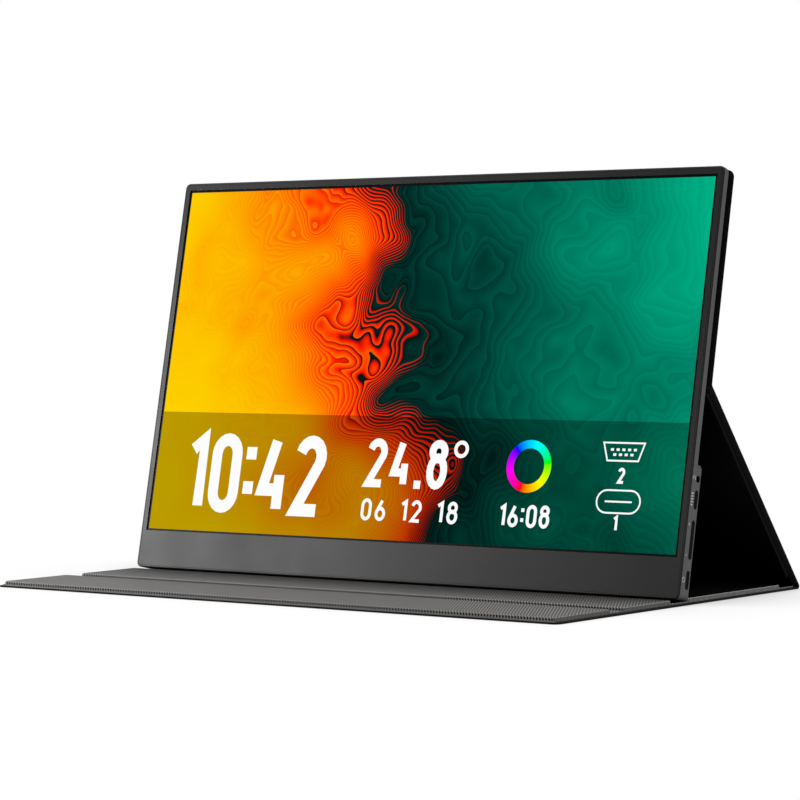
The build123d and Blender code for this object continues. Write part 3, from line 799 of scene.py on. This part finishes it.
def edge_inset(distance, radius):
    """How far a round corner draws in, at a distance from its end."""
    if distance >= radius:
        return 0.0
    return radius - math.sqrt(radius ** 2 - (radius - distance) ** 2)


def leather_stations(origin, along, out, start, end, free_end):
    """Stations of a flat stretch of leather, with round corners if its far end is free."""
    sign = 1 if end > start else -1
    distances = [abs(end - start)]
    if free_end:
        steps = 2 * round_steps
        distances += [skin_corner_r * (1 - math.sin(math.pi / 2 * step / steps))
                      for step in range(steps)]
        distances += [skin_edge_r * (1 - math.sin(math.pi / 2 * step / round_steps))
                      for step in range(1, round_steps)]
    distances.append(0.0)
    stations = []
    for distance in sorted(set(distances), reverse=True):
        centre = origin + along * (end - sign * distance) + out * leather_height
        half_width = skin_w / 2
        half_thickness = leather_t / 2
        if free_end:
            half_width -= edge_inset(distance, skin_corner_r)
            half_thickness -= edge_inset(distance, skin_edge_r)
        stations.append((centre, out, half_width, half_thickness))
    return stations


def skin_panel(name, strip, start, end, band_end=None):
    """A flat stretch of the cover's skin that stands for its node: leather outside, and a band
    of cloth inside. A far end that has its own end of the band is free."""
    body, origin, along, out, finish = strip
    free_end = band_end is not None
    mesh = bmesh.new()
    sweep(mesh, leather_stations(origin, along, out, start, end, free_end), skin_edge_r, 0)
    band_ends = (start, band_end if free_end else end)
    sweep(mesh, [(origin + along * place + out * band_height, out, stiff_w / 2, band_t / 2)
                 for place in band_ends], band_edge_r, 1)
    piece = new_piece("cover_" + name, mesh, body, [leather_finish, finish])
    shade_smooth(piece)
    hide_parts(name + "_skin")


def flat_bend(fold, reach):
    """Stations (centre, out) of a fold that lies on the table at rest. It bends on the side of
    the body that turns, so that the skin of the other one stays where it is."""
    return [(fold + table_along * reach * (step / fold_steps - 1), table_out)
            for step in range(fold_steps + 1)]


def round_bend(fold, along, out, turn, reach):
    """Stations (centre, out) of a fold that is bent at rest, on an arc about a line."""
    radius = reach / math.tan(turn / 2)
    centre = fold - along * reach + out * radius
    stations = []
    for step in range(fold_steps + 1):
        out_here = Matrix.Rotation(turn * step / fold_steps, 3, "X") @ out
        stations.append((centre - out_here * radius, out_here))
    return stations


def fold_skin(name, stations, finish):
    """The skin across a fold, which bends between two bodies. Its band is pinched there."""
    mesh = bmesh.new()
    sweep(mesh, [(centre + out * leather_height, out, skin_w / 2, leather_t / 2)
                 for centre, out in stations], skin_edge_r, 0)
    band = []
    for step, (centre, out) in enumerate(stations):
        lost = band_t * band_pinch * math.sin(math.pi * step / fold_steps)
        band.append((centre + out * (band_height - lost / 2), out, stiff_w / 2,
                     (band_t - lost) / 2))
    sweep(mesh, band, band_edge_r, 1)
    piece = new_piece(name, mesh, None, [leather_finish, finish])
    shade_smooth(piece)
    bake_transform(piece)


def rib_share(x, length):
    """Height of the ribs at the sides, from 0 to 1, as in the twill material."""
    return 0.5 + 0.5 * math.sin((length + side_slant * x) * full_turn / side_pitch)


def rounded_outline(half_width, half_length, radius, spacing):
    """Points and outward directions round a rectangle with round corners, evenly spaced."""
    points = []
    corners = ((1, 1, 0), (-1, 1, 1), (-1, -1, 2), (1, -1, 3))
    for side_x, side_y, quarter in corners:
        centre = Vector((side_x * (half_width - radius), side_y * (half_length - radius)))
        steps = max(3, round(radius * math.pi / 2 / spacing))
        for step in range(steps + 1):
            angle = (quarter + step / steps) * math.pi / 2
            out = Vector((math.cos(angle), math.sin(angle)))
            points.append((centre + out * radius, out))
        run = 2 * (half_width if quarter % 2 == 0 else half_length) - 2 * radius
        direction = Vector((-out.y, out.x))
        start = centre + out * radius
        count = round(run / spacing)
        for step in range(1, count):
            points.append((start + direction * run * step / count, out))
    return points


def cloth_board(name, strip, start, end):
    """Cloth wrapped round a board: ribbed round edges outside, and a hollow for the board."""
    body, origin, along, out, finish = strip
    centre = origin + along * (start + end) / 2 + out * half_skin
    outline = rounded_outline(stiff_w / 2, (end - start) / 2, stiff_corner_r,
                              side_pitch / rib_samples)

    def panel_point(flat, level):
        """A point of the panel, from its place in the plane and its height."""
        return centre + Vector((flat.x, 0, 0)) + along * flat.y + out * level

    # Each row of the profile is its inset, its level and how much of the ribs it shows.
    profile = [(0.0, 0.0, foot_ribs), (0.0, (wrap_height - wrap_edge_r) / 2, 1.0),
               (0.0, wrap_height - wrap_edge_r, 1.0)]
    for step in range(1, round_steps + 1):
        angle = math.pi / 2 * step / round_steps
        profile.append((wrap_edge_r * (1 - math.cos(angle)),
                        wrap_height - wrap_edge_r * (1 - math.sin(angle)), 1.0))
    profile.append((wrap_edge_r * 2, wrap_height, 0.0))
    mesh = bmesh.new()
    loops = []
    for inset, level, ribbed in reversed(profile):
        loop = []
        for place, side in outline:
            point = panel_point(place - side * inset, level)
            swell = (rib_share(point.x, point.dot(along)) - 1) * rib_height * ribbed
            tilt = min(1.0, inset / wrap_edge_r)
            normal = (Vector((side.x, 0, 0)) + along * side.y) * (1 - tilt) + out * tilt
            loop.append(mesh.verts.new(point + normal.normalized() * swell))
        loops.append(loop)
    for level in (0.0, wrap_height - lining_t):
        loops.append([mesh.verts.new(panel_point(place - side * lining_t, level))
                      for place, side in outline])
    join_loops(mesh, loops)
    piece = new_piece(name + "_cloth", mesh, body, [finish])
    shade_smooth(piece, cloth_smooth_angle)
    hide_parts(name + "_lining")


# Cover

def build_cover():
    """All pieces of the folding cover."""
    # Each strip has its body, a point in the middle of its skin, its two directions and its cloth.
    table = table_out * half_skin
    strips = {
        "lip": ("front_lip", table, table_along, table_out, table_twill),
        "flap": ("front_flap", table, table_along, table_out, table_twill),
        "base": ("base", table, table_along, table_out, base_twill_painted_shade),
        "leg": ("leg", rear_fold, leg_along, leg_out, leg_twill_painted_shade),
        "back_panel": ("display", back_fold, panel_along, display_out, panel_twill),
    }
    reaches = {}
    for name, strip in strips.items():
        origin, along = strip[1:3]
        reaches[name] = reach_along(name + "_lining", origin, along)
        cloth_board(name, strip, *reaches[name])
    panel_end = reach_along("back_panel_skin", back_fold, panel_along)[1]
    skin_panel("lip", strips["lip"], lip_fold.y - lip_bend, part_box("lip_skin")[0].y,
               reaches["lip"][0])
    skin_panel("flap", strips["flap"], lip_fold.y, front_fold.y - flap_bend)
    skin_panel("base", strips["base"], front_fold.y, rear_fold.y - rear_bend)
    skin_panel("leg", strips["leg"], rear_bend, leg_length - back_bend)
    skin_panel("back_panel", strips["back_panel"], back_bend, panel_end, reaches["back_panel"][1])
    fold_skin("cover_lip_fold", flat_bend(lip_fold, lip_bend),
              table_twill)
    fold_skin("cover_front_fold", flat_bend(front_fold, flap_bend),
              base_twill_painted_shade)
    leg_turn = math.atan2(leg_along.z, leg_along.y)
    fold_skin("cover_rear_fold",
              round_bend(rear_fold, table_along, table_out, leg_turn, rear_bend), leg_twill_painted_shade)
    panel_turn = display_turn - leg_turn
    fold_skin("cover_back_fold",
              round_bend(back_fold, leg_along, leg_out, panel_turn, back_bend), leg_twill_painted_shade)


# Figures on the screen, each a list of strokes. A stroke is a list of points.

def figure_strokes(figure, width, height):
    """Centre lines of 0, 1, 2, 4, 6 or 8, whose lower left corner is the origin. Bare numbers are
    shares of the width and height, and angles in degrees."""
    half = width / 2
    low_bowl = half * 1.15
    if figure == "0":
        loop = (arc_points((half, height - low_bowl), (half, low_bowl), 0, 180)
                + arc_points((half, low_bowl), (half, low_bowl), 180, 360))
        return [loop + loop[:1]]
    if figure == "1":
        return [[(0, height * 0.84), (width, height), (width, 0)]]
    if figure == "2":
        top = arc_points((half, height - low_bowl), (half, low_bowl), 165, -25)
        return [top + [(0, 0), (width, 0)]]
    if figure == "4":
        return [[(width * 0.5, height), (0, height * 0.28), (width, height * 0.28)],
                [(width * 0.78, height * 0.5), (width * 0.78, 0)]]
    if figure == "6":
        bowl = arc_points((half, low_bowl), (half, low_bowl), 150, -210, steps=20)
        return [bowl, [(width * 0.66, height), bowl[0]]]
    upper = half * 0.92
    lower = height / 2 - upper + 0.02 * height
    return [arc_points((half, height - upper), (half * 0.88, upper), 0, 360, steps=20),
            arc_points((half, lower), (half, lower), 0, 360, steps=20)]


def ribbon_quads(points, stroke):
    """Quads along a line of points, as wide as a stroke."""
    sides = []
    closed = math.dist(points[0], points[-1]) < stroke * 0.01
    count = len(points)
    for index, point in enumerate(points):
        before = points[index - 1] if index > 0 else (points[-2] if closed else None)
        after = points[index + 1] if index < count - 1 else (points[1] if closed else None)
        normals = []
        for first, second in ((before, point), (point, after)):
            if first is not None and second is not None:
                step = Vector(second) - Vector(first)
                normals.append(Vector((-step.y, step.x)).normalized())
        normal = sum(normals, Vector((0, 0))).normalized()
        # A sharp corner reaches out at most twice as far as the sides.
        reach = stroke / 2 / max(0.5, normal.dot(normals[0]))
        sides.append((Vector(point) + normal * reach, Vector(point) - normal * reach))
    return [(first[0], second[0], second[1], first[1]) for first, second in zip(sides, sides[1:])]


def number_quads(text, share, left, low, height, stroke, gap):
    """Quads of plain figures in a row, whose outer edges keep to their height. Their width is a
    share of it."""
    quads = []
    x = left + stroke / 2
    for figure in text:
        if figure in ":.":
            spots = (0.25, 0.68) if figure == ":" else (0.0,)
            for spot in spots:
                y = low + height * spot + stroke / 2
                quads += ribbon_quads([(x - stroke / 2, y), (x + stroke / 2, y)], stroke)
            x += stroke + gap
            continue
        if figure == " ":
            x += gap * 3
            continue
        width = (height - stroke) * (share * narrow_one if figure == "1" else share)
        for line in figure_strokes(figure, width, height - stroke):
            placed = [(x + px, low + stroke / 2 + py) for px, py in line]
            quads += ribbon_quads(placed, stroke)
        x += width + stroke + gap
    return quads


def ring_quads(centre, inner, outer, steps=48):
    """Quads round a ring."""
    line = arc_points(centre, ((inner + outer) / 2,) * 2, 0, 360, steps)
    return ribbon_quads(line, outer - inner)


def pill_line(centre, width, height):
    """A closed line with round ends."""
    radius = height / 2
    reach = width / 2 - radius
    x, y = centre
    line = (arc_points((x + reach, y), (radius, radius), -90, 90)
            + arc_points((x - reach, y), (radius, radius), 90, 270))
    return line + line[:1]


def figure_shapes():
    """Quads of all white figures on the screen."""
    quads = []
    for text, share, *sizes in figure_rows:
        quads += number_quads(text, share, *(size * mm for size in sizes))
    quads += ring_quads(degree_centre, *degree_radii, steps=24)
    x = outline_x
    quads += ribbon_quads(pill_line((x, pill_y), *pill_size), outline_t)
    quads += ribbon_quads([(x - pill_bar / 2, pill_y), (x + pill_bar / 2, pill_y)], outline_t)
    low, top = shield_y
    slim, wide = shield_w[0] / 2, shield_w[1] / 2
    shield = [(x - wide, top), (x + wide, top), (x + slim, low), (x - slim, low), (x - wide, top)]
    quads += ribbon_quads(shield, outline_t)
    for row, count in pin_rows:
        for index in range(count):
            pin_x = x + (index - (count - 1) / 2) * pin_pitch
            pin_y = low + (top - low) * row
            quads += ribbon_quads([(pin_x - outline_t, pin_y), (pin_x + outline_t, pin_y)], pin_t)
    return quads


def build_screen():
    """The front glass, whose front face is cut into border, picture, figures and ring."""
    half_glass = screen_w / 2 + glass_margin
    low, high = chin_h - glass_margin, chin_h + screen_h + glass_margin
    corners = [(-half_glass, low), (half_glass, low), (half_glass, high), (-half_glass, high)]
    half = screen_w / 2 - border
    bottom, top = chin_h + border_low, chin_h + screen_h - border
    picture = [(-half, bottom), (half, bottom), (half, top), (-half, top)]
    outlines = [corners, picture] + figure_shapes()
    ring_from = len(outlines)
    outlines += ring_quads(ring_centre, *ring_radii)
    # The cut works in millimetres, because its tolerance is a plain length.
    points = []
    faces = []
    for outline in outlines:
        faces.append(list(range(len(points), len(points) + len(outline))))
        flat = [Vector((place[0] / mm, place[1] / mm)) for place in outline]
        turning = sum(first.cross(second) for first, second in zip(flat, flat[1:] + flat[:1]))
        points += flat if turning > 0 else flat[::-1]
    cut = delaunay_2d_cdt(points, [], faces, 0, cut_tolerance)
    cut_points, cut_faces, face_sources = cut[0], cut[2], cut[5]
    mesh = bmesh.new()
    front = [mesh.verts.new((point.x * mm, point.y * mm, -glass_front)) for point in cut_points]
    for face, sources in zip(cut_faces, face_sources):
        if sources:
            last = max(sources)
            kind = 3 if last >= ring_from else min(last, 2)
            mesh.faces.new([front[index] for index in face]).material_index = kind
    back = [mesh.verts.new((x, y, -glass_front - glass_t)) for x, y in corners]
    rim = [min(front, key=lambda vertex: (vertex.co.x - x) ** 2 + (vertex.co.y - y) ** 2)
           for x, y in corners]
    for index in range(len(corners)):
        after = (index + 1) % len(corners)
        mesh.faces.new((rim[index], rim[after], back[after], back[index]))
    mesh.faces.new(back)
    mesh.transform(display_place)
    materials = [finishes["screen"], wallpaper("picture"), white_figure("figures"),
                 colour_ring("ring")]
    piece = new_piece("screen_picture", mesh, "display", materials)
    piece.visible_diffuse = False
    piece.visible_glossy = False
    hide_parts("screen_glass")


# Symbols printed beside the keys. Their own axes are u up the display and v back from the front.

def symbol_quads(kind, u, v, size):
    """Quads of one small symbol about a point. Bare numbers are shares of its size, and degrees."""
    half = size / 2
    if kind == "plus":
        return (ribbon_quads([(u - half, v), (u + half, v)], print_line)
                + ribbon_quads([(u, v - half), (u, v + half)], print_line))
    if kind == "minus":
        return ribbon_quads([(u, v - half), (u, v + half)], print_line)
    if kind == "bars":
        quads = []
        for step in range(-2, 3):
            x = u + step * size * 0.8
            quads += ribbon_quads([(x, v - half), (x, v + half)], print_line * 2)
        return quads
    if kind == "power":
        ring = arc_points((u, v), (half, half), 40, 320, 20)
        return (ribbon_quads(ring, print_line)
                + ribbon_quads([(u + size * 0.1, v), (u + size * 0.65, v)], print_line))
    band = arc_points((u, v), (half, half), -70, 70, 14)
    quads = ribbon_quads(band, print_line)
    for end in (band[0], band[-1]):
        quads += ribbon_quads([(end[0] - size * 0.4, end[1]), end], print_line * 2)
    return quads


def build_symbols():
    """Thin prints on the right side of the display."""
    look = Look("print")
    wear = look.noise(look.place, 1 / mould_grain)
    look.put(
        Base_Color=look.mix(wear, grey(0.3), grey(0.5)),
        Roughness=look.spread(wear, 0.5, 0.65),
    )
    for kind, u, size in prints:
        mesh = bmesh.new()
        for quad in symbol_quads(kind, u, print_depth, size):
            join_loops(mesh, [[mesh.verts.new((x, point[0], -point[1])) for point in quad]
                              for x in (case_w / 2 + print_t, case_w / 2)])
        mesh.transform(display_place)
        new_piece("mark_" + kind, mesh, "display", [look.material])


# Studio

def build_floor():
    """A plain white table that reaches past the view. It glows evenly, apart from a soft shade
    round the object."""
    mesh = bmesh.new()
    mesh.faces.new([mesh.verts.new((x * floor_half, y * floor_half, -floor_drop))
                    for x, y in ((-1, -1), (1, -1), (1, 1), (-1, 1))])
    data = bpy.data.meshes.new("floor")
    mesh.to_mesh(data)
    mesh.free()
    look = Look("floor")
    cloud = look.noise(look.place, 2.0)
    shade = look.openness(floor_shade_reach, floor_shade_samples)
    seen = look.calc("MULTIPLY_ADD", shade, floor_shade, floor_white - floor_shade)
    rays = look.add("ShaderNodeLightPath")
    look.put(
        Base_Color=look.mix(cloud, grey(0.0), grey(0.002)),
        Roughness=0.9,
        Specular_IOR_Level=0.0,
        Emission_Color=grey(1.0),
        Emission_Strength=mixed(look, rays.outputs["Is Camera Ray"], floor_bounce, seen),
    )
    data.materials.append(look.material)
    floor = bpy.data.objects.new("floor", data)
    bpy.context.collection.objects.link(floor)


def soft_light(name, place, target, size, power):
    """A rectangular area light that faces a point."""
    data = bpy.data.lights.new(name, "AREA")
    data.shape = "RECTANGLE"
    data.size, data.size_y = size
    data.energy = power
    light = bpy.data.objects.new(name, data)
    light.location = place
    light.rotation_euler = (Vector(target) - Vector(place)).to_track_quat("-Z", "Y").to_euler()
    bpy.context.collection.objects.link(light)


def build_studio():
    """World, lights and camera."""
    world = bpy.data.worlds.new("studio")
    bpy.context.scene.world = world
    world.use_nodes = True
    nodes = world.node_tree.nodes
    links = world.node_tree.links
    nodes.clear()
    output = nodes.new("ShaderNodeOutputWorld")
    seen = nodes.new("ShaderNodeBackground")
    ambient = nodes.new("ShaderNodeBackground")
    for background in (seen, ambient):
        background.inputs["Color"].default_value = grey(1.0)
    direction = nodes.new("ShaderNodeTexCoord")
    height = nodes.new("ShaderNodeSeparateXYZ")
    links.new(direction.outputs["Generated"], height.inputs[0])
    sky = nodes.new("ShaderNodeMapRange")
    for socket, value in zip(sky.inputs[1:5], sky_rise + sky_strength):
        socket.default_value = value
    links.new(height.outputs["Z"], sky.inputs["Value"])
    links.new(sky.outputs["Result"], ambient.inputs["Strength"])
    rays = nodes.new("ShaderNodeLightPath")
    choice = nodes.new("ShaderNodeMixShader")
    links.new(rays.outputs["Is Camera Ray"], choice.inputs[0])
    links.new(ambient.outputs[0], choice.inputs[1])
    links.new(seen.outputs[0], choice.inputs[2])
    links.new(choice.outputs[0], output.inputs[0])
    for light in lights:
        soft_light(*light)
    camera_data = bpy.data.cameras.new("camera")
    camera_data.lens = camera_lens
    camera_data.clip_end = 100.0
    camera = bpy.data.objects.new("camera", camera_data)
    camera.location = camera_place
    camera.rotation_euler = Euler([math.radians(turn) for turn in camera_turn])
    bpy.context.collection.objects.link(camera)
    bpy.context.scene.camera = camera
    bpy.context.scene.view_settings.view_transform = "Standard"


build_screen()
build_symbols()
build_cover()
build_floor()
build_studio()
